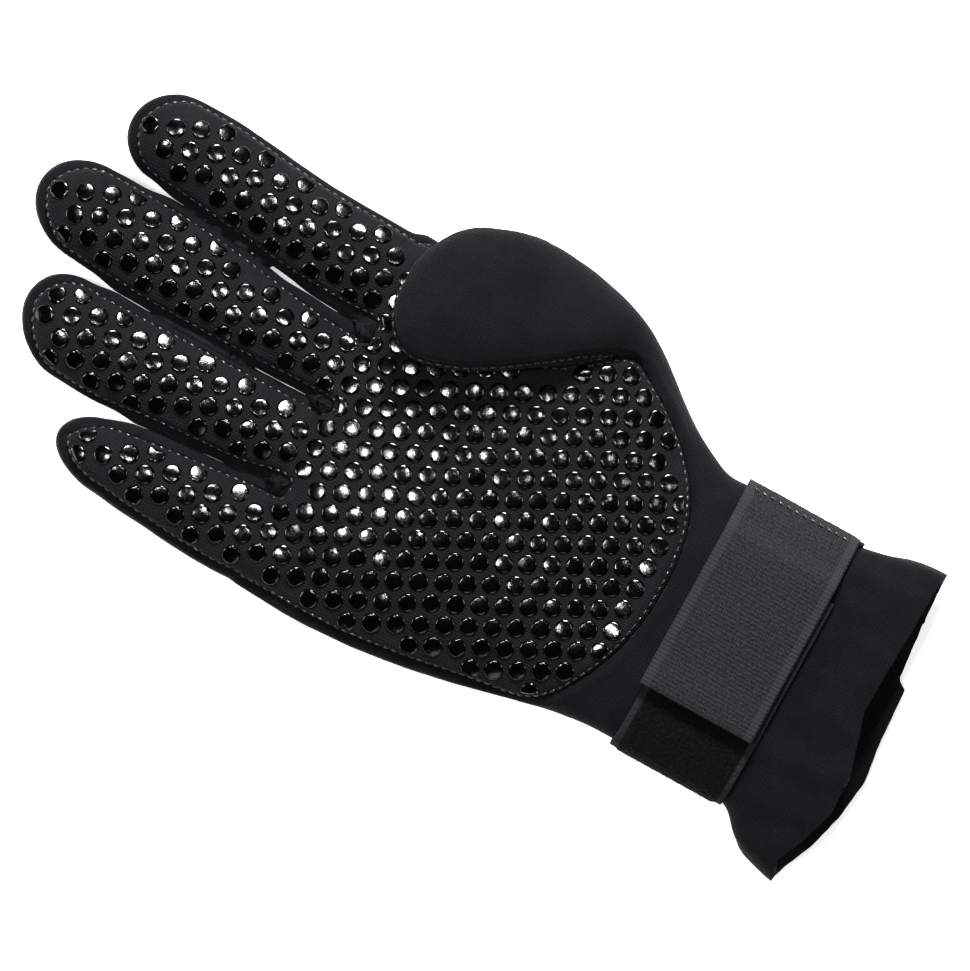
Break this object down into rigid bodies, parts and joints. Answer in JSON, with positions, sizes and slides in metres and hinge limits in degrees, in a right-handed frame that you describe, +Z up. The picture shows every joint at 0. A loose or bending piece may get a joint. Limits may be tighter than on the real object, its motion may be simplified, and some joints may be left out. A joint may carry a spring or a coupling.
{
  "type": "diving glove",
  "caption": "Right-hand neoprene diving glove lying palm up, thumb folded over a palm of raised hexagonal grip cells, with a hook-and-loop wrist strap and a flared open cuff.",
  "frame": {"origin": "under the middle of the glove's overall box, at the surface that it lies on", "axes": "+Y along the hand to the fingertips, +X to the thumb side, +Z up out of the palm"},
  "size_m": [0.1242, 0.279, 0.0408],
  "materials": {
    "neoprene": "neoprene foam faced with fine knitted jersey, bluish black, matt with a soft sheen",
    "grip_fabric": "dark coated jersey printed with raised glossy black hexagonal cells, edged with a stitched seam",
    "loop_tape": "brushed black loop pile on a woven tape with a dark grey selvedge",
    "hook_tape": "ribbed dark grey woven hook tape with smooth selvedges and a stitched end"
  },
  "bodies": {
    "root": {"back_panel": "neoprene", "palm_grip": "grip_fabric", "thumb_grip": "grip_fabric", "cuff": "neoprene", "strap_band": "loop_tape", "hook_tab": "hook_tape"}
  },
  "joints": []
}
